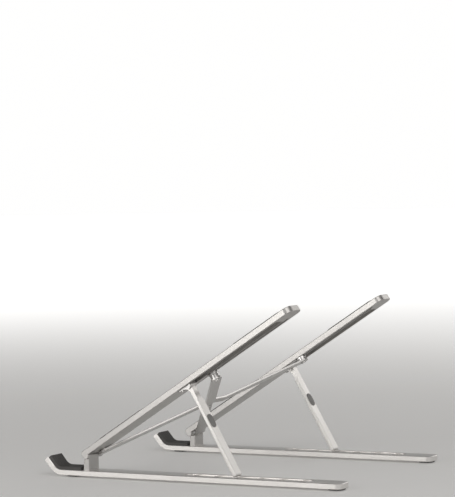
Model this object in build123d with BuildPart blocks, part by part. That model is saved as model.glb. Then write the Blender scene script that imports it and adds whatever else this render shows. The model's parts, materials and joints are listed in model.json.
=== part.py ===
from build123d import *
from math import asin, atan2, cos, degrees, radians, sin, sqrt, tan
import os

# Folding X-linked stand. Millimetres. +X is the user's right, +Y points away from the user,
# +Z is up. The origin is on the desk, below the middle of the stand as it stands open.

os.makedirs("parts", exist_ok=True)

# ---- overall sizes -------------------------------------------------------------------------
open_width = 180.0          # over the outer faces of the two rails, fully open
base_length = 250.0         # hook tip to rear end, seen from above
tilt_angle = 32.3           # upper rails above level, as it stands open
fold_gap = 1.2              # left between the upper rails when the scissor is closed

# ---- base rail -----------------------------------------------------------------------------
base_width = 17.0
base_thick = 4.1
base_corner = 4.5           # rounded rear corners, in plan
foot_proud = 1.3            # how far the feet lift the rail off the desk
hook_angle = 50.0
hook_inner_radius = 9.4
hook_straight = 7.8
edge_break = 0.35           # softened long edges of the extrusions
groove_side_gap = 0.6       # gutter's wall beside the strut's foot
groove_depth = 0.7          # shallow gutter that the strut's foot glides in
notch_count = 6
notch_pitch = 17.7
notch_length = 4.4
notch_depth = 1.6           # below the gutter's floor
notch_corner = 0.8
rear_notch_inset = 34.0     # last notch, from the rear end
rest_notch = 2              # notch that the strut stands over, counted from the front

# ---- hinge post ----------------------------------------------------------------------------
post_width = 14.0
post_thick = 4.6
post_lean = 1.2             # the front face runs in by this much towards the top
post_edge_break = 0.4
hinge_height = 11.1         # pin above the base rail's top face
hinge_setback = 37.0        # pin behind the hook's tip
hinge_pin_radius = 1.2
ear_radius = 2.4
post_screw_radius = 1.25
post_screw_head = 2.2       # radius over the countersunk head
post_screw_spacing = 7.5
post_screw_depth = 5.0
post_screw_short = 0.3      # left below the hole's end
countersink_angle = 90.0
post_foot_margin = 1.0      # keeps the post's softened edges off its foot

# ---- upper rail ----------------------------------------------------------------------------
rail_width = 21.5
rail_depth = 4.5
rail_length = 208.0         # pin to nose
rail_corner = 6.0
heel_radius = 2.0           # rounded top corner, in front of the hinge
knuckle_gap = 0.4           # behind the post's round top
pin_cover = 0.5             # metal outside the hinge pin's bore
pin_cover_inner = 1.0       # metal at the bore's other end
pin_end_gap = 0.5
rivet_roof = 1.2            # metal over the crossbar's front rivet
flange = 2.2                # outer wall of the strut channel
channel_width = 11.7
channel_depth = 3.2
channel_start = 95.0
channel_end = 192.5
channel_corner = 1.2
track_inset = 17.0          # scissor pivots and slider track, from the rail's outer face
track_neck = 3.2
track_head = 4.6
track_lip = 1.3
track_depth = 3.0
shoe_length = 8.0
shoe_boss_radius = 3.6
shoe_disc_thick = 1.3
shoe_head_gap = 0.1         # over and under the shoe's head, in the track

# ---- scissor -------------------------------------------------------------------------------
bar_span = 185.0            # pivot to pivot
bar_width = 8.8
bar_thick = 1.8
bar_gap = 0.3               # between bars that pass over each other
bar_edge_break = 0.25
bar_stand_off = 0.7         # under the rail
crank_gap = 1.35            # between a bar's crank and the bar that it crosses
crank_length = 9.0
front_bar_gap = 0.4         # between a bar's front end and the hinge's ears
rivet_radius = 1.6
rivet_head_radius = 3.0
rivet_head = 0.7
rivet_crown = 0.4           # rounded rim of a front rivet's head
centre_head = 0.45          # flatter, to pass under the rails
washer_inset = 0.2          # inside the bars' edges
shoe_rivet_radius = 0.9
shoe_rivet_head_radius = 2.2
shoe_rivet_head = 0.6
shoe_rivet_depth = 1.0      # above the rail's underside

# ---- strut ---------------------------------------------------------------------------------
strut_pivot_at = 104.2      # along the rail, from the hinge pin
strut_pivot_drop = 0.3      # pin below the rail's underside
foot_lift = 0.45            # foot over the base rail's top face, as it stands open
strut_thick = 2.7
strut_foot_thick = 3.2
strut_width = 9.3
strut_inset = 3.1           # body, from the rail's outer face
strut_neck_inset = 3.6
strut_neck_width = 6.5
strut_neck_length = 12.0
strut_neck_lap = 1.0        # how far the neck runs into the body
strut_neck_slope = 2.4      # front of the neck, below the knuckle
strut_knuckle_radius = 3.1
strut_edge_round = 0.6
strut_front_offset = 0.1    # front face in front of the pin's centre line
strut_pin_radius = 1.2
bracket_clear = 0.15
bracket_side_gap = 0.1      # beside the channel's outer wall
bracket_slot_gap = 0.5      # in front of the knuckle
bracket_chin_front = 1.6    # lowest corner, in front of the pin
bracket_chin_drop = 2.4     # lowest corner, below the pin
bracket_floor_end = 4.0     # rear end of the front block, in front of the pin
bracket_pin_short = 0.2
bracket_inner_ear = 1.7
bracket_floor = 1.2         # front block, below the rail's underside
bracket_ear_radius = 2.9
bracket_rivet_radius = 0.9
bracket_rivet_at = 3.2      # behind the channel's front end
bracket_rivet_inset = 2.4   # outer rivet, from the channel's outer wall
bracket_rivet_spacing = 5.0
bracket_rivet_short = 0.3   # below the rail's top face
bracket_rivet_head_radius = 1.4
bracket_rivet_head = 0.6
bumper_at = 31.0
bumper_length = 11.0
bumper_width = 7.0
bumper_proud = 0.7
bumper_sunk = 0.9

# ---- soft pads -----------------------------------------------------------------------------
pad_thick = 2.4
pad_side_gap = 0.6
pad_end_gap = 1.9           # between the hook pad and the hinge post
pad_tip_gap = 0.6           # between the hook pad and the hook's tip
top_pad_width = 13.0
top_pad_proud = 1.6
top_pad_sunk = 0.5
top_pad_length = 46.0
top_pad_corner = 3.0
top_pad_round = 0.6
front_pad_start = 14.0
rear_pad_end = 198.0
foot_length = 12.0
foot_width = 11.0
foot_sunk = 0.6
foot_corner = 4.5
foot_edge_break = 0.3
front_foot_at = 22.4        # centre of the foot, behind the hook's tip
rear_foot_inset = 6.9       # centre of the foot, in front of the rear end

running = 0.05              # radial clearance of every turning fit
side_clear = 0.15           # between flat faces that slide past each other
overrun = 1.0               # how far a cut starts or ends outside what it cuts
cut_reach = 40.0            # longer than anything that an open-ended cut crosses
nearly = 0.01               # tolerance for picking edges

# ---- places worked out from the sizes ------------------------------------------------------
half_width = open_width / 2
rear_y = base_length / 2
hook_y = -base_length / 2
base_top = foot_proud + base_thick
hinge_y = hook_y + hinge_setback
hinge_z = base_top + hinge_height
bend = radians(hook_angle)
tilt = radians(tilt_angle)
along = Vector(0, cos(tilt), sin(tilt))
normal = Vector(0, -sin(tilt), cos(tilt))
pivot_span = open_width - 2 * track_inset
front_pivot_at = ear_radius + bar_width / 2 + front_bar_gap
theta = asin(pivot_span / bar_span)
crank_start = bar_width / 2 * tan(theta) + crank_gap
slider_at = front_pivot_at + sqrt(bar_span**2 - pivot_span**2)
closed_span = 2 * (rail_width - track_inset) + fold_gap
closed_slider_at = front_pivot_at + sqrt(bar_span**2 - closed_span**2)
rear_notch_y = rear_y - rear_notch_inset
notch_ys = [rear_notch_y - notch_pitch * i for i in range(notch_count)][::-1]
strut_pivot = (
    Vector(0, hinge_y, hinge_z) + along * strut_pivot_at - normal * strut_pivot_drop
)

# The strut leans so that the centre of its rounded foot stands over the rest notch.
foot_radius = strut_foot_thick / 2
foot_offset = foot_radius - strut_front_offset
foot_centre = Vector(0, notch_ys[rest_notch], base_top + foot_lift + foot_radius)
foot_reach = foot_centre - strut_pivot
strut_run = sqrt(foot_reach.length**2 - foot_offset**2)
strut_length = strut_run + foot_radius
foot_turn = atan2(foot_offset, strut_run)
reach_dir = foot_reach.normalized()
reach_rear = Vector(0, -reach_dir.Z, reach_dir.Y)
strut_down = reach_dir * cos(foot_turn) - reach_rear * sin(foot_turn)
strut_rear = Vector(0, -strut_down.Z, strut_down.Y)
fold_turn = degrees(atan2(-strut_down.Z, strut_down.Y)) + tilt_angle
close_turn = degrees(theta - asin(closed_span / bar_span))
hinge_bore_length = rail_width - pin_cover - pin_cover_inner
bracket_outer = flange + bracket_side_gap
bracket_inner = strut_neck_inset + strut_neck_width + bracket_clear + bracket_inner_ear

sides = {"right": 1, "left": -1}


def across(side, inset):
    """X of a place given by its distance in from that side's outer face."""
    return sides[side] * (half_width - inset)


def middle(side, inset, width):
    return across(side, inset + width / 2)


def rail_plane(v=0.0):
    """Local x across, local y along the upper rail from the hinge pin, z out of its top."""
    origin = Vector(0, hinge_y, hinge_z) + normal * v
    return Plane(origin=origin, x_dir=(1, 0, 0), z_dir=normal)


def rail_section(x):
    """Local x along the upper rail, local y out of its top, seen from the right."""
    return Plane(origin=(x, hinge_y, hinge_z), x_dir=along, z_dir=(1, 0, 0))


def strut_section(x):
    """Local x down the strut from its pin, local y towards its rear face."""
    return Plane(origin=(x, strut_pivot.Y, strut_pivot.Z), x_dir=strut_down, z_dir=(1, 0, 0))


def strut_rear_plane(offset):
    """Local x across, local y down the strut from its pin, z out of its rear face."""
    origin = Vector(0, strut_pivot.Y, strut_pivot.Z) + strut_rear * offset
    return Plane(origin=origin, x_dir=(1, 0, 0), z_dir=strut_rear)


def save(built, name):
    built.part.label = name
    export_step(built.part, f"parts/{name}.step")


# The hook's bend starts where the straight end and the arc bring its tip to the full length.
hook_run = (hook_inner_radius + base_thick) * sin(bend) + hook_straight * cos(bend)
hook_bend_y = hook_y + hook_run


def strip_wire(low, high, rear, tip_short=0.0):
    """Closed side view of a strip between two heights over the rail's underside, from the
    hook's tip to rear. It turns up with the hook."""
    low_radius = hook_inner_radius + base_thick - low
    high_radius = hook_inner_radius + base_thick - high
    straight = hook_straight - tip_short
    z_low = foot_proud + low
    z_high = foot_proud + high
    lower = Line((rear, z_low), (hook_bend_y, z_low))
    lower_arc = JernArc(lower @ 1, (-1, 0), low_radius, -hook_angle)
    lower_end = Line(lower_arc @ 1, (lower_arc @ 1) + (lower_arc % 1) * straight)
    upper = Line((rear, z_high), (hook_bend_y, z_high))
    upper_arc = JernArc(upper @ 1, (-1, 0), high_radius, -hook_angle)
    upper_end = Line(upper_arc @ 1, (upper_arc @ 1) + (upper_arc % 1) * straight)
    Line(lower_end @ 1, upper_end @ 1)
    Line(lower @ 0, upper @ 0)


# ---- base rail group -----------------------------------------------------------------------
def make_base_rail(side):
    x = middle(side, 0, base_width)
    with BuildPart() as base_rail:
        with BuildSketch(Plane.YZ.offset(x)):
            with BuildLine():
                strip_wire(0, base_thick, rear_y)
            make_face()
        extrude(amount=base_width / 2, both=True)
        upright = base_rail.edges().filter_by(Axis.Z).group_by(Axis.Y)[-1]
        fillet(upright, base_corner)
        long_edges = base_rail.edges().filter_by(
            lambda e: e.length > base_width and abs(abs(e.center().X - x) - base_width / 2) < nearly
        )
        chamfer(long_edges, edge_break)
        # gutter and notches for the strut's foot
        gutter_x = middle(side, strut_inset, strut_width)
        groove_width = strut_width + 2 * groove_side_gap
        gutter_front = notch_ys[0] - notch_pitch / 2
        gutter_rear = notch_ys[-1] + notch_pitch / 2
        with BuildSketch(Plane.XY.offset(base_top)):
            with Locations((gutter_x, (gutter_front + gutter_rear) / 2)):
                SlotOverall(gutter_rear - gutter_front, groove_width, rotation=90)
        extrude(amount=-groove_depth, mode=Mode.SUBTRACT)
        with BuildSketch(Plane.XY.offset(base_top - groove_depth)):
            with Locations([(gutter_x, y) for y in notch_ys]):
                RectangleRounded(groove_width, notch_length, notch_corner)
        extrude(amount=-notch_depth, mode=Mode.SUBTRACT)
        # seats for the feet
        foot_y = (hook_y + front_foot_at, rear_y - rear_foot_inset)
        with BuildSketch(Plane.XY.offset(foot_proud)):
            with Locations([(x, y) for y in foot_y]):
                RectangleRounded(foot_width, foot_length, foot_corner)
        extrude(amount=foot_sunk, mode=Mode.SUBTRACT)
        # countersunk holes for the post's screws
        with Locations(Plane((x, hinge_y, foot_proud), z_dir=(0, 0, -1))):
            with GridLocations(post_screw_spacing, 1, 2, 1):
                CounterSinkHole(post_screw_radius, post_screw_head, base_thick, countersink_angle)
    save(base_rail, f"base_rail_{side}")


def make_hinge_post(side):
    x = middle(side, 0, base_width)
    with BuildPart() as hinge_post:
        with BuildSketch(Plane.YZ.offset(x)):
            with BuildLine():
                front_low = (hinge_y - post_thick / 2 - post_lean / 2, base_top)
                front_high = (hinge_y - post_thick / 2, hinge_z)
                rear_high = (hinge_y + post_thick / 2, hinge_z)
                rear_low = (hinge_y + post_thick / 2, base_top)
                Polyline(front_high, front_low, rear_low, rear_high)
                ThreePointArc(rear_high, (hinge_y, hinge_z + post_thick / 2), front_high)
            make_face()
            with Locations((hinge_y, hinge_z)):
                Circle(hinge_pin_radius + running, mode=Mode.SUBTRACT)
        extrude(amount=post_width / 2, both=True)
        uprights = hinge_post.edges().filter_by(
            lambda e: abs(e.center().X - x) > post_width / 2 - nearly and e.center().Z < hinge_z
        )
        above_foot = base_top + post_foot_margin
        chamfer(uprights.filter_by(lambda e: e.center().Z > above_foot), post_edge_break)
        with Locations(Plane((x, hinge_y, base_top), z_dir=(0, 0, -1))):
            with GridLocations(post_screw_spacing, 1, 2, 1):
                Hole(post_screw_radius, depth=post_screw_depth)
    save(hinge_post, f"hinge_post_{side}")


def make_post_screws(side):
    x = middle(side, 0, base_width)
    length = base_thick + post_screw_depth - post_screw_short
    head_depth = post_screw_head - post_screw_radius
    with BuildPart() as post_screws:
        with BuildSketch(Plane.XY.offset(foot_proud)):
            with Locations((x, hinge_y)):
                with GridLocations(post_screw_spacing, 1, 2, 1):
                    Circle(post_screw_radius)
        extrude(amount=length)
        with Locations(Plane((x, hinge_y, foot_proud))):
            with GridLocations(post_screw_spacing, 1, 2, 1):
                standing = (Align.CENTER, Align.CENTER, Align.MIN)
                Cone(post_screw_head, post_screw_radius, head_depth, align=standing)
    save(post_screws, f"post_screws_{side}")


def make_hook_pad(side):
    x = middle(side, 0, base_width)
    rear = hinge_y - post_thick / 2 - post_lean / 2 - pad_end_gap
    with BuildPart() as hook_pad:
        with BuildSketch(Plane.YZ.offset(x)):
            with BuildLine():
                strip_wire(base_thick, base_thick + pad_thick, rear, tip_short=pad_tip_gap)
            make_face()
        extrude(amount=base_width / 2 - pad_side_gap, both=True)
    save(hook_pad, f"hook_pad_{side}")


def make_foot(side, place, y):
    x = middle(side, 0, base_width)
    with BuildPart() as foot:
        with BuildSketch(Plane.XY):
            with Locations((x, y)):
                RectangleRounded(foot_width, foot_length, foot_corner)
        extrude(amount=foot_proud + foot_sunk)
        chamfer(foot.faces().sort_by(Axis.Z)[0].edges(), foot_edge_break)
    save(foot, f"{place}_foot_{side}")


# ---- upper rail group ----------------------------------------------------------------------
def make_upper_rail(side):
    x = middle(side, 0, rail_width)
    post_x = middle(side, 0, base_width)
    channel_x = middle(side, flange, channel_width)
    track_x = across(side, track_inset)
    track_front = slider_at - shoe_length / 2 - side_clear
    track_rear = closed_slider_at + shoe_length / 2 + side_clear
    with BuildPart() as upper_rail:
        with BuildSketch(rail_section(x)):
            with BuildLine():
                heel = (heel_radius - ear_radius, rail_depth - heel_radius)
                Line((-ear_radius, 0), (-ear_radius, rail_depth - heel_radius))
                CenterArc(heel, heel_radius, 90, 90)
                Line((heel_radius - ear_radius, rail_depth), (rail_length, rail_depth))
                Line((rail_length, rail_depth), (rail_length, 0))
                Line((rail_length, 0), (ear_radius, 0))
                ThreePointArc((ear_radius, 0), (0, -ear_radius), (-ear_radius, 0))
            make_face()
        extrude(amount=rail_width / 2, both=True)
        nose = upper_rail.edges().filter_by(Axis((0, 0, 0), normal)).group_by(Axis.Y)[-1]
        fillet(nose, rail_corner)
        long_edges = upper_rail.edges().filter_by(
            lambda e: e.length > rail_length / 2
            and abs(abs(e.center().X - x) - rail_width / 2) < nearly
        )
        chamfer(long_edges, edge_break)
        # room for the post's knuckle between two ears
        room_rear = post_thick / 2 + knuckle_gap
        room_front = ear_radius + overrun
        with BuildSketch(rail_plane(rail_depth)):
            with Locations((post_x, (room_rear - room_front) / 2)):
                Rectangle(post_width + 2 * side_clear, room_rear + room_front)
        extrude(amount=-rail_depth - room_front, mode=Mode.SUBTRACT)
        # the hinge pin's bore stops short of the outer face
        with BuildSketch(rail_section(across(side, pin_cover))):
            Circle(hinge_pin_radius)
        extrude(amount=-sides[side] * hinge_bore_length, mode=Mode.SUBTRACT)
        # strut channel, open below
        with BuildSketch(rail_plane()):
            with Locations((channel_x, (channel_start + channel_end) / 2)):
                RectangleRounded(channel_width, channel_end - channel_start, channel_corner)
        extrude(amount=channel_depth, mode=Mode.SUBTRACT)
        # T-shaped slider track: a neck open below and a wider head inside
        track_middle = (track_x, (track_front + track_rear) / 2)
        with BuildSketch(rail_plane()):
            with Locations(track_middle):
                Rectangle(track_neck, track_rear - track_front)
        extrude(amount=track_depth, mode=Mode.SUBTRACT)
        with BuildSketch(rail_plane(track_lip)):
            with Locations(track_middle):
                Rectangle(track_head, track_rear - track_front)
        extrude(amount=track_depth - track_lip, mode=Mode.SUBTRACT)
        # blind hole for the crossbar's front rivet
        with BuildSketch(rail_plane()):
            with Locations((track_x, front_pivot_at)):
                Circle(rivet_radius)
        extrude(amount=rail_depth - rivet_roof, mode=Mode.SUBTRACT)
        # seats for the pads on top
        with BuildSketch(rail_plane(rail_depth)):
            with Locations([(x, y) for y in top_pad_centres()]):
                RectangleRounded(top_pad_width, top_pad_length, top_pad_corner)
        extrude(amount=-top_pad_sunk, mode=Mode.SUBTRACT)
        # holes for the bracket's two rivets
        with BuildSketch(rail_plane(rail_depth)):
            with Locations(bracket_rivet_places(side)):
                Circle(bracket_rivet_radius)
        extrude(amount=-(rail_depth - channel_depth), mode=Mode.SUBTRACT)
    save(upper_rail, f"upper_rail_{side}")


def top_pad_centres():
    return (front_pad_start + top_pad_length / 2, rear_pad_end - top_pad_length / 2)


def make_top_pad(side, place, centre):
    x = middle(side, 0, rail_width)
    with BuildPart() as top_pad:
        with BuildSketch(rail_plane(rail_depth - top_pad_sunk)):
            with Locations((x, centre)):
                RectangleRounded(top_pad_width, top_pad_length, top_pad_corner)
        extrude(amount=top_pad_sunk + top_pad_proud)
        top = top_pad.faces().sort_by(Axis((0, 0, 0), normal))[-1]
        fillet(top.edges(), top_pad_round)
    save(top_pad, f"{place}_top_pad_{side}")


def make_hinge_pin(side):
    with BuildPart() as hinge_pin:
        with BuildSketch(rail_section(across(side, pin_cover))):
            Circle(hinge_pin_radius)
        extrude(amount=-sides[side] * (hinge_bore_length - pin_end_gap))
    save(hinge_pin, f"hinge_pin_{side}")


def bracket_rivet_places(side):
    outer = flange + bracket_rivet_inset
    insets = (outer, outer + bracket_rivet_spacing)
    return [(across(side, inset), channel_start + bracket_rivet_at) for inset in insets]


def make_strut_bracket(side):
    front = channel_start + channel_corner
    slot_front = strut_pivot_at - strut_knuckle_radius - bracket_slot_gap
    width = bracket_inner - bracket_outer
    pin = (strut_pivot_at, -strut_pivot_drop)
    chin = (strut_pivot_at - bracket_chin_front, -strut_pivot_drop - bracket_chin_drop)
    with BuildPart() as strut_bracket:
        with BuildSketch(rail_section(middle(side, bracket_outer, width))):
            with BuildLine():
                Polyline(
                    (front, -bracket_floor),
                    (front, channel_depth),
                    (strut_pivot_at + bracket_ear_radius, channel_depth),
                    (strut_pivot_at + bracket_ear_radius, -strut_pivot_drop),
                    chin,
                    (strut_pivot_at - bracket_floor_end, -bracket_floor),
                    close=True,
                )
            make_face()
            with Locations(pin):
                Circle(bracket_ear_radius)
        extrude(amount=width / 2, both=True)
        slot_x = middle(side, strut_neck_inset, strut_neck_width)
        with BuildSketch(rail_plane(channel_depth)):
            with Locations((slot_x, slot_front + cut_reach / 2)):
                Rectangle(strut_neck_width + 2 * bracket_clear, cut_reach)
        extrude(amount=-cut_reach, mode=Mode.SUBTRACT)
        with BuildSketch(rail_section(across(side, bracket_outer - overrun))):
            with Locations(pin):
                Circle(strut_pin_radius)
        extrude(amount=-sides[side] * (width + 2 * overrun), mode=Mode.SUBTRACT)
        with BuildSketch(rail_plane(channel_depth)):
            with Locations(bracket_rivet_places(side)):
                Circle(bracket_rivet_radius)
        extrude(amount=-cut_reach, mode=Mode.SUBTRACT)
    save(strut_bracket, f"strut_bracket_{side}")


def make_bracket_rivets(side):
    with BuildPart() as bracket_rivets:
        with BuildSketch(rail_plane(-bracket_floor)):
            with Locations(bracket_rivet_places(side)):
                Circle(bracket_rivet_radius)
        extrude(amount=bracket_floor + rail_depth - bracket_rivet_short)
        with BuildSketch(rail_plane(-bracket_floor)):
            with Locations(bracket_rivet_places(side)):
                Circle(bracket_rivet_head_radius)
        extrude(amount=-bracket_rivet_head)
    save(bracket_rivets, f"bracket_rivets_{side}")


def make_strut_pin(side):
    outer = bracket_outer + bracket_pin_short
    with BuildPart() as strut_pin:
        with BuildSketch(rail_section(across(side, outer))):
            with Locations((strut_pivot_at, -strut_pivot_drop)):
                Circle(strut_pin_radius)
        extrude(amount=-sides[side] * (bracket_inner - outer))
    save(strut_pin, f"strut_pin_{side}")


def make_strut(side):
    body_x = middle(side, strut_inset, strut_width)
    neck_x = middle(side, strut_neck_inset, strut_neck_width)
    front = -strut_front_offset
    rear = front + strut_thick
    neck_end = strut_neck_length + strut_neck_lap
    with BuildPart() as strut:
        # full-width body, tapering thicker towards a rounded foot
        with BuildSketch(strut_section(body_x)):
            with BuildLine():
                foot_front = (strut_length - foot_radius, front)
                foot_rear = (strut_length - foot_radius, front + strut_foot_thick)
                Line((strut_neck_length, front), foot_front)
                foot_tip = (strut_length, front + foot_radius)
                ThreePointArc(foot_front, foot_tip, foot_rear)
                Line(foot_rear, (strut_neck_length, rear))
                Line((strut_neck_length, rear), (strut_neck_length, front))
            make_face()
        extrude(amount=strut_width / 2, both=True)
        long_edges = strut.edges().filter_by(lambda e: e.length > strut_length / 2)
        fillet(long_edges, strut_edge_round)
        # narrow neck and round knuckle, clear of the crossbars
        with BuildSketch(strut_section(neck_x)):
            with BuildLine():
                Polyline(
                    (0, rear),
                    (neck_end, rear),
                    (neck_end, front),
                    (strut_knuckle_radius + strut_neck_slope, front),
                    (0, -strut_knuckle_radius),
                    (0, rear),
                )
            make_face()
            Circle(strut_knuckle_radius)
            Circle(strut_pin_radius + running, mode=Mode.SUBTRACT)
        extrude(amount=strut_neck_width / 2, both=True)
        # pocket for the bumper
        with BuildSketch(strut_rear_plane(rear - bumper_sunk)):
            with Locations((body_x, bumper_at)):
                SlotOverall(bumper_length, bumper_width, rotation=90)
        extrude(amount=strut_foot_thick, mode=Mode.SUBTRACT)
    save(strut, f"strut_{side}")


def make_strut_bumper(side):
    body_x = middle(side, strut_inset, strut_width)
    rear = strut_thick - strut_front_offset
    with BuildPart() as strut_bumper:
        with BuildSketch(strut_rear_plane(rear - bumper_sunk)):
            with Locations((body_x, bumper_at)):
                SlotOverall(bumper_length, bumper_width, rotation=90)
        extrude(amount=bumper_sunk + bumper_proud)
    save(strut_bumper, f"strut_bumper_{side}")


# ---- scissor group -------------------------------------------------------------------------
# Level 0 is the upper one. Every level lies one bar and one gap lower.
def level_top(level):
    return -bar_stand_off - level * (bar_thick + bar_gap)


def bar_place(front_side, reach):
    """Centre-line place on a bar, reach from its front pivot: x across, y along the rail."""
    sign = sides[front_side]
    x = across(front_side, track_inset) - sign * reach * sin(theta)
    return (x, front_pivot_at + reach * cos(theta))


def bar_profile(front_side):
    """Local x along the bar from its front pivot, local y out of the rails' top faces."""
    flat = rail_plane()
    start = flat.from_local_coords(Vector(*bar_place(front_side, 0)))
    long_axis = flat.from_local_coords(Vector(*bar_place(front_side, 1))) - start
    return Plane(origin=start, x_dir=long_axis, z_dir=long_axis.cross(normal))


def bar_step_edge(edge, front_side):
    """True for the edges that run straight across the bar, at its crank."""
    if edge.geom_type != GeomType.LINE:
        return False
    long_axis = bar_profile(front_side).x_dir
    return abs((edge % 0.5).dot(long_axis)) < 0.1


def make_crossbar(front_side, front_level, name):
    """A bar whose rear half is cranked one level down, just behind the centre pivot."""
    front_top = level_top(front_level)
    rear_top = level_top(front_level + 1)
    crank = bar_span / 2 + crank_start
    end = bar_width / 2
    upper = [
        (-end, front_top),
        (crank, front_top),
        (crank + crank_length, rear_top),
        (bar_span + end, rear_top),
    ]
    lower = [(along_bar, top - bar_thick) for along_bar, top in reversed(upper)]
    centre_radius = rivet_radius + (0 if front_level == 0 else running)
    with BuildPart() as crossbar:
        with BuildSketch(bar_profile(front_side)):
            with BuildLine():
                Polyline(*upper, *lower, close=True)
            make_face()
        extrude(amount=bar_width / 2, both=True)
        with BuildSketch(rail_plane()):
            with Locations(bar_place(front_side, bar_span / 2)):
                turn = 90 + sides[front_side] * degrees(theta)
                SlotCenterToCenter(bar_span, bar_width, rotation=turn)
        extrude(amount=-cut_reach, mode=Mode.INTERSECT)
        rims = crossbar.edges().filter_by(lambda e: e.length > bar_width / 2)
        chamfer(rims.filter_by(lambda e: not bar_step_edge(e, front_side)), bar_edge_break)
        with BuildSketch(rail_plane()):
            with Locations(bar_place(front_side, 0)):
                Circle(rivet_radius + running)
            with Locations(bar_place(front_side, bar_span / 2)):
                Circle(centre_radius)
            with Locations(bar_place(front_side, bar_span)):
                Circle(shoe_rivet_radius + running)
        extrude(amount=-cut_reach, mode=Mode.SUBTRACT)
    save(crossbar, name)


def make_front_rivet(side, level):
    """Riveted blind into the rail. Its head carries the bar from below."""
    head_top = level_top(level) - bar_thick - running
    with BuildPart() as front_rivet:
        with BuildSketch(rail_plane(head_top)):
            with Locations(bar_place(side, 0)):
                Circle(rivet_radius)
        extrude(amount=rail_depth - rivet_roof - head_top)
        with BuildSketch(rail_plane(head_top)):
            with Locations(bar_place(side, 0)):
                Circle(rivet_head_radius)
        extrude(amount=-rivet_head)
        crown = front_rivet.faces().sort_by(Axis((0, 0, 0), normal))[0]
        fillet(crown.edges(), rivet_crown)
    save(front_rivet, f"front_rivet_{side}")


def make_front_spacer(side, level):
    with BuildPart() as front_spacer:
        with BuildSketch(rail_plane()):
            with Locations(bar_place(side, 0)):
                Circle(rivet_head_radius)
                Circle(rivet_radius, mode=Mode.SUBTRACT)
        extrude(amount=level_top(level) + running)
    save(front_spacer, f"front_spacer_{side}")


def make_centre_rivet():
    """Fixed in the upper bar, with a running fit in the lower one."""
    head_base = level_top(0)
    tail_base = level_top(1) - bar_thick - running
    with BuildPart() as centre_rivet:
        with BuildSketch(rail_plane(tail_base)):
            with Locations(bar_place("right", bar_span / 2)):
                Circle(rivet_radius)
        extrude(amount=head_base - tail_base)
        for base, height in ((head_base, centre_head), (tail_base, -rivet_head)):
            with BuildSketch(rail_plane(base)):
                with Locations(bar_place("right", bar_span / 2)):
                    Circle(rivet_head_radius)
            extrude(amount=height)
    save(centre_rivet, "centre_rivet")


def make_centre_washer():
    with BuildPart() as centre_washer:
        with BuildSketch(rail_plane(level_top(0) - bar_thick)):
            with Locations(bar_place("right", bar_span / 2)):
                Circle(bar_width / 2 - washer_inset)
                Circle(rivet_radius, mode=Mode.SUBTRACT)
        extrude(amount=-(bar_gap - running))
    save(centre_washer, "centre_washer")


def make_slider(track_side, front_side, level):
    """The shoe in the rail's track, with the boss that the bar's rear end turns on."""
    place = bar_place(front_side, bar_span)
    boss_low = level_top(level) + running
    with BuildPart() as slider:
        with BuildSketch(rail_plane(track_lip + shoe_head_gap)):
            with Locations(place):
                Rectangle(track_head - 2 * side_clear, shoe_length)
        extrude(amount=track_depth - track_lip - 2 * shoe_head_gap)
        with BuildSketch(rail_plane(-side_clear)):
            with Locations(place):
                Rectangle(track_neck - 2 * side_clear, shoe_length)
        extrude(amount=track_lip + side_clear + shoe_head_gap)
        with BuildSketch(rail_plane(-side_clear)):
            with Locations(place):
                Circle(shoe_boss_radius)
        extrude(amount=boss_low + side_clear)
        with BuildSketch(rail_plane(-side_clear)):
            with Locations(place):
                Circle(bar_width / 2)
        extrude(amount=-shoe_disc_thick)
        with BuildSketch(rail_plane(boss_low)):
            with Locations(place):
                Circle(shoe_rivet_radius)
        extrude(amount=shoe_rivet_depth - boss_low, mode=Mode.SUBTRACT)
    save(slider, f"slider_shoe_{track_side}")


def make_slider_rivet(track_side, front_side, level):
    place = bar_place(front_side, bar_span)
    head_top = level_top(level) - bar_thick - running
    with BuildPart() as slider_rivet:
        with BuildSketch(rail_plane(head_top)):
            with Locations(place):
                Circle(shoe_rivet_radius)
        extrude(amount=shoe_rivet_depth - head_top)
        with BuildSketch(rail_plane(head_top)):
            with Locations(place):
                Circle(shoe_rivet_head_radius)
        extrude(amount=-shoe_rivet_head)
    save(slider_rivet, f"slider_rivet_{track_side}")


# ---- all the pieces ------------------------------------------------------------------------
for side in sides:
    make_base_rail(side)
    make_hinge_post(side)
    make_post_screws(side)
    make_hook_pad(side)
    make_foot(side, "front", hook_y + front_foot_at)
    make_foot(side, "rear", rear_y - rear_foot_inset)
    make_upper_rail(side)
    make_hinge_pin(side)
    make_strut_bracket(side)
    make_bracket_rivets(side)
    make_strut_pin(side)
    make_strut(side)
    make_strut_bumper(side)
    for place, centre in zip(("front", "rear"), top_pad_centres()):
        make_top_pad(side, place, centre)

# The upper bar runs from the right rail's front to the left rail's track, the lower one
# the other way.
make_crossbar("right", 0, "crossbar_upper")
make_crossbar("left", 1, "crossbar_lower")
make_front_rivet("right", 0)
make_front_rivet("left", 1)
make_front_spacer("right", 0)
make_front_spacer("left", 1)
make_centre_rivet()
make_centre_washer()
make_slider("left", "right", 1)
make_slider("right", "left", 2)
make_slider_rivet("left", "right", 1)
make_slider_rivet("right", "left", 2)
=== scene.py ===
# %% [markdown]
# A folding stand for a laptop: two base rails with hooks in front, two upper rails that tilt
# on posts, two struts that prop them, and a scissor of two flat bars underneath. The metal
# pieces come from the engineering model, because their shapes are exact there. What this
# script adds is the finish of every piece, and new meshes for the moulded and turned ones.

# %% Load the model and note its size
import json
from math import asin, atan2, cos, degrees, pi, radians, sin

import bmesh
import bpy
from mathutils import Matrix, Vector


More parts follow.
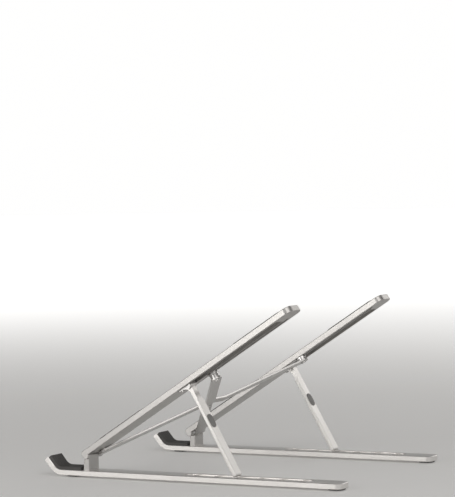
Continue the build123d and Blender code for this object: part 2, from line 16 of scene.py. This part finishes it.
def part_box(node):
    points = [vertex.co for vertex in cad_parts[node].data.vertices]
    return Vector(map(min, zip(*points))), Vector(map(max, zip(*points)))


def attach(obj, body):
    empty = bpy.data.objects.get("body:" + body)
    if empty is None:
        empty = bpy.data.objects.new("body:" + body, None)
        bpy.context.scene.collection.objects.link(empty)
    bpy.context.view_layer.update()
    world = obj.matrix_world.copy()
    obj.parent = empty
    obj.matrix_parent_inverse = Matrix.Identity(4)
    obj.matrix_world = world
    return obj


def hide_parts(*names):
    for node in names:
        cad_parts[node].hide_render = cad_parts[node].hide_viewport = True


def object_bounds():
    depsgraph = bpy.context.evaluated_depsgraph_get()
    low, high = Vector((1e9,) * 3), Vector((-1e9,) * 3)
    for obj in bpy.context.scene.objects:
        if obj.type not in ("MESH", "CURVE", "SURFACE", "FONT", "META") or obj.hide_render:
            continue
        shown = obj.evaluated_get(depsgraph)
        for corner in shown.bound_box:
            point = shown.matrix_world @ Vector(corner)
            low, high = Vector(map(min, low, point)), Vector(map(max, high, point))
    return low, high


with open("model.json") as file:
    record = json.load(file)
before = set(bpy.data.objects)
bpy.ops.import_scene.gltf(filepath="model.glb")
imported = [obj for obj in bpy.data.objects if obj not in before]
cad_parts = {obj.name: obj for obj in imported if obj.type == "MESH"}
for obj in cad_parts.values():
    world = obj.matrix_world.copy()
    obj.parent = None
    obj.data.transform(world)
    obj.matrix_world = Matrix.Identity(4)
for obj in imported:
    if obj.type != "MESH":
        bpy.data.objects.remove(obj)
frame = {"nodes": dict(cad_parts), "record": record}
cad_box = [list(corner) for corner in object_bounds()]
joints = {joint["name"]: joint for joint in frame["record"]["behaviour"]["joints"]}
print("model box, mm:", [[round(1000 * c) for c in corner] for corner in cad_box])

# %% [markdown]
# The upper rails lean, so most places on them are easiest to give along the rail and square
# to it. The scissor turns about the line square to the rails, which gives both directions.

# %% Directions of the tilted rails
sideways = Vector((1, 0, 0))
rail_up = -Vector(joints["scissor"]["axis"]).normalized()
rail_along = rail_up.cross(-sideways).normalized()
rail_axes = (sideways, rail_along, rail_up)
rail_turn = Matrix(rail_axes).transposed().to_4x4()
tilt = atan2(rail_along.z, rail_along.y)
print("rails tilt by", round(degrees(tilt), 1), "degrees")


def reach(node, direction):
    """Lowest and highest place of a node along a direction, in metres."""
    places = [vertex.co.dot(direction) for vertex in frame["nodes"][node].data.vertices]
    return min(places), max(places)


def size_of(node, axes):
    """Width, length and height of a node along three directions."""
    return [reach(node, axis)[1] - reach(node, axis)[0] for axis in axes]


def rail_place(node):
    """A matrix that puts z=0 of an upright shape on a node's low side, square to the rails."""
    across = sum(reach(node, sideways)) / 2
    along = sum(reach(node, rail_along)) / 2
    low = reach(node, rail_up)[0]
    corner = Vector((across, 0, 0)) + rail_along * along + rail_up * low
    return Matrix.Translation(corner) @ rail_turn


def face_direction(node, guess):
    """The direction nearest a guess in which a node's long flat faces run, square to X."""
    best = max(
        (face for face in frame["nodes"][node].data.polygons if abs(face.normal.x) < 0.01),
        key=lambda face: face.area if abs(face.normal.dot(guess)) < 0.1 else 0,
    )
    direction = best.normal.cross(sideways)
    return direction if direction.dot(guess) > 0 else -direction


# %% [markdown]
# Procedural finishes are sums and products of noise. Writing them as ordinary arithmetic
# keeps them readable, so a small class wraps a socket: adding or multiplying two of them
# makes the Math node. Everything else goes through one method that adds any node.

# %% Arithmetic on shader sockets
class Signal:
    def __init__(self, finish, socket):
        self.finish = finish
        self.socket = socket

    def math(self, operation, other, swap=False):
        first, second = (other, self) if swap else (self, other)
        return self.finish.node("ShaderNodeMath", {"operation": operation}, {0: first, 1: second})

    def __add__(self, other):
        return self.math("ADD", other)

    def __radd__(self, other):
        return self.math("ADD", other, swap=True)

    def __sub__(self, other):
        return self.math("SUBTRACT", other)

    def __rsub__(self, other):
        return self.math("SUBTRACT", other, swap=True)

    def __mul__(self, other):
        return self.math("MULTIPLY", other)

    def __rmul__(self, other):
        return self.math("MULTIPLY", other, swap=True)


# %% A material under construction
class Finish:
    """Starts a material with one principled shader, whose fixed numbers are set directly."""

    def __init__(self, name, **fixed):
        self.material = bpy.data.materials.new(name)
        self.material.use_nodes = True
        self.tree = self.material.node_tree
        self.shader = self.tree.nodes["Principled BSDF"]
        for socket, value in fixed.items():
            self.shader.inputs[socket.replace("_", " ")].default_value = value
        self.place = self.node("ShaderNodeTexCoord", out="Object")

    def feed(self, socket, value):
        if isinstance(value, Signal):
            self.tree.links.new(value.socket, socket)
        else:
            socket.default_value = value

    def node(self, kind, settings=None, inputs=None, out=0):
        made = self.tree.nodes.new(kind)
        for key, value in (settings or {}).items():
            if key == "stops":
                for element, (position, shade) in zip(made.color_ramp.elements, value):
                    element.position = position
                    element.color = (shade, shade, shade, 1)
            else:
                setattr(made, key, value)
        for socket, value in (inputs or {}).items():
            self.feed(made.inputs[socket], value)
        return Signal(self, made.outputs[out])

    def turned(self, angles, stretch):
        """Object coordinates turned by angles, then stretched along the new axes."""
        turn = self.node("ShaderNodeMapping", inputs={"Vector": self.place, "Rotation": angles})
        return self.node("ShaderNodeMapping", inputs={"Vector": turn, "Scale": stretch})

    def noise(self, grain, detail=2.0, where=None):
        """Noise whose features are about one grain, in metres, wide."""
        inputs = {"Vector": where or self.place, "Scale": 1 / grain, "Detail": detail}
        return self.node("ShaderNodeTexNoise", inputs=inputs)

    def ramp(self, value, low, high):
        """Rises from 0 to 1 while the value goes from low to high."""
        stops = {"stops": ((low, 0.0), (high, 1.0))}
        return self.node("ShaderNodeValToRGB", stops, {"Fac": value})

    def blend(self, mask, first, second):
        """One colour where the mask is 0, another where it is 1."""
        settings = {"data_type": "RGBA"}
        inputs = {"Factor": mask, 6: (*first, 1), 7: (*second, 1)}
        return self.node("ShaderNodeMix", settings, inputs, out=2)

    def finish_with(self, color=None, roughness=None, bump=None, depth=0.0001, strength=0.3):
        if color is not None:
            self.feed(self.shader.inputs["Base Color"], color)
        if roughness is not None:
            self.feed(self.shader.inputs["Roughness"], roughness)
        if bump is not None:
            inputs = {"Height": bump, "Distance": depth, "Strength": strength}
            self.feed(self.shader.inputs["Normal"], self.node("ShaderNodeBump", inputs=inputs))
        return self.material


# %% [markdown]
# Bead-blasted, anodised aluminium is a metal with a fine even tooth. Blasting leaves pits a
# fifth of a millimetre wide, so a tight noise drives the bump, while a much wider one makes
# the sheen vary slightly, as handling and anodising do. Faint lengthwise streaks from the
# extrusion die still show through the blasting, so one more noise is stretched along the
# piece. An image of real metal would do as well, but it would carry its own light with it.

# %% Satin aluminium
def satin_aluminium(name, angles=(0, 0, 0), shade=1.0):
    finish = Finish(name, Metallic=1.0, Anisotropic=0.25)
    along_piece = finish.turned(angles, stretch=(1, 0.012, 1))
    tooth = finish.noise(grain=0.00022, detail=3)
    cloud = finish.noise(grain=0.018, detail=4)
    smudge = finish.ramp(finish.noise(grain=0.035, detail=5), low=0.52, high=0.78)
    die_lines = finish.noise(grain=0.0005, detail=2, where=along_piece)
    # shade scales the whole colour, which paints a lighter or darker copy of the metal for each piece
    light = tuple(shade * part for part in (0.70, 0.685, 0.665))
    dark = tuple(shade * part for part in (0.56, 0.545, 0.53))
    color = finish.blend(cloud * 0.45 + die_lines * 0.4 + tooth * 0.15, dark, light)
    roughness = 0.30 + cloud * 0.07 + tooth * 0.07 + smudge * 0.05
    height = tooth * 0.6 + die_lines * 0.25
    return finish.finish_with(color, roughness, height, depth=0.00006, strength=0.35)


# %% [markdown]
# The crossbars and strut brackets are stamped from cold-rolled strip, which keeps a finer
# lengthwise grain and a brighter face. The grain has to follow each bar, and the two bars
# lie at opposite angles, so each gets its own turned copy of the finish.

# %% Rolled strip
def rolled_strip(name, angles):
    finish = Finish(name, Metallic=1.0, Anisotropic=0.5)
    long_lines = finish.turned(angles, stretch=(1, 0.006, 1))
    short_lines = finish.turned(angles, stretch=(1, 0.03, 1))
    grain = finish.noise(grain=0.00018, detail=3, where=long_lines)
    scratch = finish.ramp(finish.noise(grain=0.0004, detail=2, where=short_lines), low=0.62, high=0.75)
    cloud = finish.noise(grain=0.022, detail=3)
    dark, light = (0.53, 0.52, 0.51), (0.70, 0.69, 0.675)
    color = finish.blend(grain * 0.55 + cloud * 0.45, dark, light)
    roughness = 0.24 + grain * 0.10 + cloud * 0.06 + scratch * 0.08
    return finish.finish_with(color, roughness, grain + scratch * 0.5, depth=0.00004, strength=0.3)


# %% [markdown]
# Rivets, pins and screws are turned from steel and tumbled, so they are brighter than the
# rails, with tiny random nicks instead of a grain.

# %% Tumbled steel
def tumbled_steel(name):
    finish = Finish(name, Metallic=1.0)
    nicks = finish.ramp(finish.noise(grain=0.0007, detail=4), low=0.56, high=0.70)
    film = finish.noise(grain=0.004, detail=2)
    dark, light = (0.60, 0.59, 0.58), (0.74, 0.73, 0.72)
    color = finish.blend(film, dark, light)
    roughness = 0.20 + film * 0.10 + nicks * 0.12
    return finish.finish_with(color, roughness, 1 - nicks, depth=0.00005, strength=0.25)


# %% [markdown]
# Moulded silicone is matt, nearly black on the pads and mid grey on the bumpers, and it shows
# two things up close: the fine texture of its mould, and pale dust that clings in patches.
# The dust is a mask that both lightens the colour and roughens the surface.

# %% Silicone
def moulded_silicone(name, tone):
    finish = Finish(name, Specular_IOR_Level=0.4)
    texture = finish.noise(grain=0.00035, detail=2)
    patches = finish.ramp(finish.noise(grain=0.012, detail=5), low=0.48, high=0.80)
    specks = finish.ramp(finish.noise(grain=0.0009, detail=3), low=0.66, high=0.74)
    dust = patches * 0.5 + specks * 0.35
    dusty = tuple(2.1 * part + 0.02 for part in tone)
    color = finish.blend(dust * 0.5, tone, dusty)
    roughness = 0.62 + texture * 0.12 + dust * 0.15
    return finish.finish_with(color, roughness, texture, depth=0.00008, strength=0.4)


# %% [markdown]
# The washer between the two crossbars is black nylon, which is smoother than silicone and
# goes paler where it rubs. So the wear mask lightens the colour and dulls the shine together.

# %% Black nylon
def moulded_nylon(name):
    finish = Finish(name)
    texture = finish.noise(grain=0.0005, detail=3)
    wear = finish.ramp(finish.noise(grain=0.003, detail=4), low=0.5, high=0.75)
    black, rubbed = (0.035, 0.035, 0.037), (0.075, 0.074, 0.072)
    color = finish.blend(wear, black, rubbed)
    return finish.finish_with(color, 0.42 + texture * 0.15 + wear * 0.1, texture, depth=0.00005)


# %% [markdown]
# Each engineering node keeps its mesh and gets its finish here. The die lines run along the
# base rails, so those need no turn. On the tilted rails and struts the pattern is turned to
# lie along the piece. Each kind of piece gets its own lighter or darker copy of the same
# metal, which is painted light and shade: the base rails are painted lighter and the post
# painted darker. The upper rails are darker partly for their own warmer tone and partly
# as painted shade.

# %% Finish the engineering nodes
def assign(node, material):
    slots = frame["nodes"][node].data.materials
    slots.clear()
    slots.append(material)


def bar_angles(front_x):
    """Turn that lays the pattern along the crossbar whose front end is on that side."""
    front = Vector(joints["scissor"]["pos_m"])
    centre = Vector(joints["centre_pivot"]["pos_m"])
    half = centre - front
    swing = asin(abs(half.x) / half.length)
    flat = Matrix.Rotation(-tilt, 3, "X")
    turn = Matrix.Rotation(-swing if front_x > 0 else swing, 3, "Z") @ flat
    return tuple(turn.to_euler())


strut_run, strut_rise = size_of("strut_right", (Vector((0, 1, 0)), Vector((0, 0, 1))))
strut_lean = atan2(strut_rise, strut_run)
# The shade numbers paint light and shade: the base rails are painted lighter and the post painted
# darker, and the upper rails are partly their own tone and partly painted shade.
base_metal = satin_aluminium("satin_aluminium_base", shade=1.2)
post_metal = satin_aluminium("satin_aluminium_post", (pi / 2, 0, 0), shade=0.72)
rail_metal = satin_aluminium("satin_aluminium_rail", (-tilt, 0, 0), shade=0.80)
strut_metal = satin_aluminium("satin_aluminium_strut", (strut_lean, 0, 0), shade=1.05)
upper_strip = rolled_strip("rolled_strip_upper", bar_angles(1))
lower_strip = rolled_strip("rolled_strip_lower", bar_angles(-1))
bracket_strip = rolled_strip("rolled_strip_bracket", (-tilt, 0, 0))
steel = tumbled_steel("tumbled_steel")
silicone = moulded_silicone("dark_silicone", tone=(0.070, 0.067, 0.065))
bumper_silicone = moulded_silicone("grey_silicone", tone=(0.20, 0.195, 0.19))
nylon = moulded_nylon("black_nylon")

node_finishes = {
    "base_rail": base_metal,
    "hinge_post": post_metal,
    "upper_rail": rail_metal,
    "strut_bracket": bracket_strip,
    "strut_bumper": bumper_silicone,
    "strut_pin": steel,
    "strut": strut_metal,
    "crossbar_upper": upper_strip,
    "crossbar_lower": lower_strip,
    "slider_shoe": steel,
    "centre_washer": nylon,
    "hook_pad": silicone,
    "front_foot": silicone,
    "rear_foot": silicone,
    "front_top_pad": silicone,
    "rear_top_pad": silicone,
}
for node in frame["nodes"]:
    family = node.removesuffix("_right").removesuffix("_left")
    assign(node, node_finishes.get(family, steel))
print("finished", len(frame["nodes"]), "nodes")

# %% [markdown]
# A new piece is always made standing at the origin, then carried to its place by one matrix
# that is applied to the mesh, so the object itself stays at the origin, as the nodes do.

# %% Turn a bmesh into a piece
weld = 1e-7                 # points nearer than this are one point


def smooth_where_round(mesh, limit=radians(35)):
    mesh.shade_smooth()
    mesh.set_sharp_from_angle(angle=limit)


def add_piece(shape, name, place, material, body, node):
    bmesh.ops.transform(shape, matrix=place, verts=shape.verts)
    bmesh.ops.remove_doubles(shape, verts=shape.verts, dist=weld)
    bmesh.ops.recalc_face_normals(shape, faces=shape.faces)
    mesh = bpy.data.meshes.new(name)
    shape.to_mesh(mesh)
    shape.free()
    smooth_where_round(mesh)
    mesh.materials.append(material)
    piece = bpy.data.objects.new(name, mesh)
    bpy.context.collection.objects.link(piece)
    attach(piece, body)
    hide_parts(node)
    print(name, len(mesh.polygons), "faces")
    return piece


# %% [markdown]
# Pads and feet are pressed from the same dark silicone: a block with rounded corners in
# plan, softened upper edges, and low ribs across the face so that nothing slides. Starting
# from a cube, bevels round it as a mould would, one inset leaves a plain rim, and the field
# inside it is cut into strips, every other one raised into a rib.

# %% Ribbed silicone block
rib_draft = 0.00012         # how far a rib's sides lean in towards its top


def moulded_block(width, length, height, corner, soft, rim=0, rib_pitch=0, rib_height=0):
    """A block standing on z=0, its uprights rounded by corner and its top rim by soft."""
    block_height = height - rib_height
    shape = bmesh.new()
    bmesh.ops.create_cube(shape, size=1)
    bmesh.ops.scale(shape, vec=(width, length, block_height), verts=shape.verts)
    bmesh.ops.translate(shape, vec=(0, 0, block_height / 2), verts=shape.verts)
    uprights = [e for e in shape.edges if abs(e.verts[0].co.z - e.verts[1].co.z) > height / 4]
    round_over(shape, uprights, radius=corner, segments=8)
    top = max(shape.faces, key=lambda f: f.calc_center_median().z)
    round_over(shape, list(top.edges), radius=soft, segments=4)
    top = max(shape.faces, key=lambda f: f.calc_center_median().z)
    if rib_pitch:
        raise_ribs(shape, top, rim, rib_pitch, rib_height)
    return shape


def round_over(shape, parts, radius, segments, affect="EDGES"):
    """Rounds edges, or the corners of a flat face when it affects its vertices."""
    bmesh.ops.bevel(
        shape, geom=parts, offset=radius, segments=segments, profile=0.5, affect=affect, material=-1
    )


def parts_of(given, kind):
    """The faces, or the vertices, in what an operator gives back."""
    return [part for part in given if isinstance(part, kind)]


def raise_ribs(shape, top, rim, pitch, rib_height):
    """Cuts the face inside a plain rim into strips across it, and raises every other one."""
    bmesh.ops.inset_region(shape, faces=[top], thickness=rim, use_even_offset=True)
    half = max(v.co.y for v in top.verts)
    count = int(2 * half / pitch) // 2 * 2 + 1
    strip = 2 * half / count
    field = [top]
    for cut in range(1, count):
        here = Vector((0, cut * strip - half, 0))
        edges = list({edge for face in field for edge in face.edges})
        verts = list({vert for face in field for vert in face.verts})
        cut_field = bmesh.ops.bisect_plane(
            shape, geom=field + edges + verts, plane_co=here, plane_no=(0, 1, 0)
        )
        field = parts_of(cut_field["geom"], bmesh.types.BMFace)
    ribs = [f for f in field if int((f.calc_center_median().y + half) / strip) % 2 == 1]
    for rib in ribs:
        bmesh.ops.inset_individual(shape, faces=[rib], thickness=rib_draft, depth=0)
        bmesh.ops.translate(shape, vec=(0, 0, rib_height), verts=list(rib.verts))
    print("ribs:", len(ribs))


# %% Pads on the upper rails
for side in ("right", "left"):
    for end in ("front", "rear"):
        node = f"{end}_top_pad_{side}"
        width, length, height = size_of(node, rail_axes)
        pad = moulded_block(
            width, length, height,
            corner=0.003, soft=0.0005, rim=0.0013, rib_pitch=0.0011, rib_height=0.0003,
        )
        add_piece(pad, f"ribbed_{node}", rail_place(node), silicone, f"upper_{side}", node)

# %% [markdown]
# The feet are the same kind of block, turned over so that the ribs face the desk. They sit
# square to the desk, so each takes its size and place from its node's plain box.

# %% Feet
for side in ("right", "left"):
    for end in ("front", "rear"):
        node = f"{end}_foot_{side}"
        low, high = (Vector(corner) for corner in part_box(node))
        width, length, height = high - low
        foot = moulded_block(
            width, length, height,
            corner=0.0045, soft=0.0003, rim=0.0012, rib_pitch=0.0012, rib_height=0.00025,
        )
        middle = (low + high) / 2
        place = Matrix.Translation((middle.x, middle.y, high.z)) @ Matrix.Rotation(pi, 4, "X")
        add_piece(foot, f"ribbed_{node}", place, silicone, f"base_{side}", node)

# %% [markdown]
# The hook pads keep the laptop's front edge from slipping. Each is one strip with the same
# section all the way, laid in the base rail, round the hook's bend and up its straight end.
# A section swept along that path is quickest: extrude the flat run, spin the bend, extrude
# the end. The section itself has rounded shoulders and shallow grooves along it.

# %% Silicone strip round the hook
hook_angle = radians(50)
hook_bend = 0.0094          # inside the metal of the hook
metal_thick = 0.0041
hook_straight = 0.0078
bend_steps = 14
pad_thick = 0.0024
bare_tip = 0.0006           # metal left bare at the end of the hook
shoulder = 0.0009
groove_step = 0.0026
groove_half = 0.0004
groove_deep = 0.0004


def strip_section(width, thick):
    """Upright section in the XZ plane, with its foot at z=0."""
    shape = bmesh.new()
    corners = ((-width / 2, 0), (width / 2, 0), (width / 2, thick), (-width / 2, thick))
    verts = [shape.verts.new((x, 0, z)) for x, z in corners]
    shape.faces.new(verts)
    round_over(shape, verts[2:], radius=shoulder, segments=5, affect="VERTICES")
    grooves = [step * groove_step for step in range(-2, 3)]
    for cut in [g + shift for g in grooves for shift in (-groove_half, 0, groove_half)]:
        bmesh.ops.bisect_plane(
            shape, geom=list(shape.verts) + list(shape.edges) + list(shape.faces),
            plane_co=(cut, 0, 0), plane_no=(1, 0, 0),
        )
    for vert in shape.verts:
        at_groove = min(abs(vert.co.x - g) for g in grooves) < groove_half / 2
        if at_groove and vert.co.z > thick / 2:
            vert.co.z -= groove_deep
    return shape


def extrude_on(shape, faces, step):
    """Moves the open end of a strip on by one step, and gives back its new end faces."""
    grown = bmesh.ops.extrude_face_region(shape, geom=faces)["geom"]
    bmesh.ops.translate(shape, vec=step, verts=parts_of(grown, bmesh.types.BMVert))
    bmesh.ops.delete(shape, geom=faces, context="FACES_ONLY")
    return parts_of(grown, bmesh.types.BMFace)


def swept_hook_pad(side):
    node = f"hook_pad_{side}"
    low, high = (Vector(corner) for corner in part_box(node))
    base_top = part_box(f"hinge_post_{side}")[0][2]
    bend_run = (hook_bend + metal_thick) * sin(hook_angle) + hook_straight * cos(hook_angle)
    bend_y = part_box(f"base_rail_{side}")[0][1] + bend_run
    bend_centre = (0, bend_y, base_top + hook_bend)
    one_turn = Matrix.Rotation(-hook_angle / bend_steps, 3, "X")
    end_run = hook_straight - bare_tip

    shape = strip_section(high.x - low.x, pad_thick)
    bmesh.ops.translate(shape, vec=((low.x + high.x) / 2, high.y, base_top), verts=shape.verts)
    start = list(shape.faces)
    bmesh.ops.duplicate(shape, geom=start)      # stays behind and closes the rear end
    end = extrude_on(shape, start, (0, bend_y - high.y, 0))
    for _ in range(bend_steps):
        end = extrude_on(shape, end, (0, 0, 0))
        verts = list({vert for face in end for vert in face.verts})
        bmesh.ops.rotate(shape, verts=verts, cent=bend_centre, matrix=one_turn)
    extrude_on(shape, end, (0, -cos(hook_angle) * end_run, sin(hook_angle) * end_run))
    return shape


for side in ("right", "left"):
    pad = swept_hook_pad(side)
    name = f"grooved_hook_pad_{side}"
    add_piece(pad, name, Matrix.Identity(4), silicone, f"base_{side}", f"hook_pad_{side}")

# %% [markdown]
# A bumper is a slim oval plug in the strut, which meets the rail's channel when the stand is
# folded. It needs a soft crown. A cube stretched to the plug's size becomes an oval when its
# four uprights are rounded by almost half its width, and its top rim is rounded after that.

# %% Bumpers on the struts
strut_pivot = Vector(joints["strut_right_fold"]["pos_m"])
strut_low = min(frame["nodes"]["strut_right"].data.vertices, key=lambda vertex: vertex.co.z).co
strut_down = Vector((0, strut_low.y - strut_pivot.y, strut_low.z - strut_pivot.z)).normalized()
flat_down = face_direction("strut_right", strut_down)
bumper_out = Vector((0, -flat_down.z, flat_down.y))
bumper_axes = (sideways, flat_down, bumper_out)
bumper_turn = Matrix(bumper_axes).transposed().to_4x4()
for side in ("right", "left"):
    node = f"strut_bumper_{side}"
    width, length, height = size_of(node, bumper_axes)
    bumper = moulded_block(width, length, height, corner=0.499 * width, soft=0.00045)
    centres = [sum(reach(node, axis)) / 2 for axis in bumper_axes[:2]]
    low = reach(node, bumper_out)[0]
    spot = Vector((centres[0], 0, 0)) + flat_down * centres[1] + bumper_out * low
    place = Matrix.Translation(spot) @ bumper_turn
    add_piece(bumper, f"domed_{node}", place, bumper_silicone, f"strut_{side}", node)

# %% [markdown]
# Rivet heads are turned: a low dome with a dimple where the setting tool pressed. One
# profile of a few points, spun a full turn, makes the whole rivet with its shank. It runs
# from the dimple over the dome and up the shank, and both ends lie on the axis.

# %% Turned rivets
shank = 0.0016
head_height = 0.0007
dimple_radius = 0.0011
dimple_deep = 0.0003
dimple_lip = 0.00004        # how far the dimple's edge lies under the dome's top


def spun(profile, steps=48):
    """Spins a profile of (radius, height) points about Z, from axis to axis."""
    shape = bmesh.new()
    verts = [shape.verts.new((radius, 0, height)) for radius, height in profile]
    edges = [shape.edges.new(pair) for pair in zip(verts, verts[1:])]
    bmesh.ops.spin(
        shape, geom=verts + edges, cent=(0, 0, 0), axis=(0, 0, 1), angle=2 * pi,
        steps=steps, use_merge=True,
    )
    bmesh.ops.remove_doubles(shape, verts=shape.verts, dist=weld)
    return shape


def dimpled_head(radius, points=6):
    """Points of a low dome hanging from z=0, from the bottom of its dimple to its rim."""
    turns = [radians(90) * step / points for step in range(points + 1)]
    dome = [(radius * sin(turn), -head_height * cos(turn)) for turn in turns]
    bottom = dimple_deep - head_height
    dimple = [(0, bottom), (0.6 * dimple_radius, bottom), (dimple_radius, dimple_lip - head_height)]
    return dimple + [(r, z) for r, z in dome if r > dimple_radius]


for side in ("right", "left"):
    node = f"front_rivet_{side}"
    width, _, length = size_of(node, rail_axes)
    profile = [(r, z + head_height) for r, z in dimpled_head(width / 2)]
    profile += [(shank, head_height), (shank, length), (0, length)]
    name = f"dimpled_{node}"
    add_piece(spun(profile), name, rail_place(node), steel, f"upper_{side}", node)

# %% [markdown]
# The surroundings light the stand together with the lamps. The pale floor's glow is painted
# light: it hardly glows near the stand, which paints a shadow round it, and glows further out.
# The room is bright up to just above the horizon and dim overhead.
# So undersides, which mirror the painted shadow, get less light than the sides of the rails, which show
# a broad pale band.

# %% Floor and room
# The floor's emission is painted light: a dim glow near the stand paints a shadow round it, and a bright
# glow further out paints light.
painted_shadow_glow = (0.12, 0.118, 0.115)
painted_far_glow = (0.93, 0.925, 0.915)


def floor_with_painted_shadow(name, dim_radius, full_radius):
    """Pale and matt, with a painted glow that grows from one distance to another: a painted shadow near
    the stand, and painted light further out, like a backdrop.
    """
    finish = Finish(name, Base_Color=(0.78, 0.775, 0.765, 1), Roughness=0.8, Emission_Strength=1.0)
    distance = finish.node("ShaderNodeVectorMath", {"operation": "LENGTH"}, {0: finish.place}, out=1)
    reach_out = finish.node(
        "ShaderNodeMapRange",
        {"interpolation_type": "SMOOTHSTEP"},
        {"Value": distance, "From Min": dim_radius, "From Max": full_radius},
    )
    glow = finish.blend(reach_out, painted_shadow_glow, painted_far_glow)
    finish.feed(finish.shader.inputs["Emission Color"], glow)
    return finish.material


floor_shape = bmesh.new()
bmesh.ops.create_grid(floor_shape, x_segments=2, y_segments=2, size=30)
floor_mesh = bpy.data.meshes.new("studio_floor")
floor_shape.to_mesh(floor_mesh)
floor_shape.free()
floor_mesh.materials.append(floor_with_painted_shadow("pale_floor", dim_radius=0.1, full_radius=3.2))
floor = bpy.data.objects.new("studio_floor", floor_mesh)
floor_gap = 0.0002
floor.location.z = cad_box[0][2] - floor_gap
bpy.context.collection.objects.link(floor)

horizon_light = (1.0, 0.998, 0.995, 1)
overhead_light = (0.20, 0.198, 0.195, 1)
bright_up_to = 0.10         # height of a direction, 0 at the horizon and 1 straight up
dim_from = 0.22
world = bpy.data.worlds.new("pale_room")
bpy.context.scene.world = world
world.use_nodes = True
room = world.node_tree
room_light = room.nodes["Background"]
direction = room.nodes.new("ShaderNodeTexCoord")
split = room.nodes.new("ShaderNodeSeparateXYZ")
fade = room.nodes.new("ShaderNodeValToRGB")
stops = ((bright_up_to, horizon_light), (dim_from, overhead_light))
for element, (position, color) in zip(fade.color_ramp.elements, stops):
    element.position = position
    element.color = color
room.links.new(direction.outputs["Generated"], split.inputs[0])
room.links.new(split.outputs["Z"], fade.inputs["Fac"])
room.links.new(fade.outputs["Color"], room_light.inputs["Color"])

# %% [markdown]
# Three large square lamps face the middle of the stand: a low one in front on the right, a
# weak one on the far left, and a high one behind on the right. Large lamps give the metal
# broad gradients, which is what makes a satin finish read as satin.

# %% Lamps
stand_middle = Vector((0, 0, cad_box[1][2] / 2))


def soft_lamp(name, azimuth, height, distance, size, power):
    """A square lamp that faces the stand from an azimuth, in degrees round from +X."""
    lamp = bpy.data.lights.new(name, "AREA")
    lamp.shape = "SQUARE"
    lamp.size = size
    lamp.energy = power
    lamp.color = (1.0, 0.985, 0.965)
    holder = bpy.data.objects.new(name, lamp)
    turn = radians(azimuth)
    spot = Vector((distance * cos(turn), distance * sin(turn), height))
    holder.location = spot
    holder.visible_camera = False
    holder.rotation_euler = (stand_middle - spot).to_track_quat("-Z", "Y").to_euler()
    bpy.context.collection.objects.link(holder)


soft_lamp("key_lamp", azimuth=-25, height=0.30, distance=1.8, size=1.1, power=10.5)
soft_lamp("far_lamp", azimuth=163, height=0.85, distance=1.8, size=0.9, power=3.6)
soft_lamp("rear_lamp", azimuth=50, height=1.1, distance=1.6, size=1.5, power=12)

# %% [markdown]
# The view looks across the stand from behind its right-hand side, barely above its level,
# with a long lens that keeps both rails nearly parallel.

# %% Camera
view_azimuth = radians(118.57)
view_drop = radians(1.324)
view_distance = 1.6008
view_roll = -0.0207
sensor_width = 36
lens_to_width = 4.53868
aim = Vector((0, -0.0109, 0.1705))

look = Vector((-sin(view_azimuth) * cos(view_drop), cos(view_azimuth) * cos(view_drop), -sin(view_drop)))
level = look.cross(Vector((0, 0, 1))).normalized()
upright = level.cross(look)
right = cos(view_roll) * level + sin(view_roll) * upright
top_way = cos(view_roll) * upright - sin(view_roll) * level

camera_data = bpy.data.cameras.new("view_camera")
camera_data.sensor_fit = "HORIZONTAL"
camera_data.sensor_width = sensor_width
camera_data.lens = sensor_width * lens_to_width
camera_data.clip_end = 100
camera = bpy.data.objects.new("view_camera", camera_data)
place = Matrix((right, top_way, -look)).transposed().to_4x4()
place.translation = aim - look * view_distance
camera.matrix_world = place
bpy.context.collection.objects.link(camera)
bpy.context.scene.camera = camera
bpy.context.scene.view_settings.view_transform = "Standard"
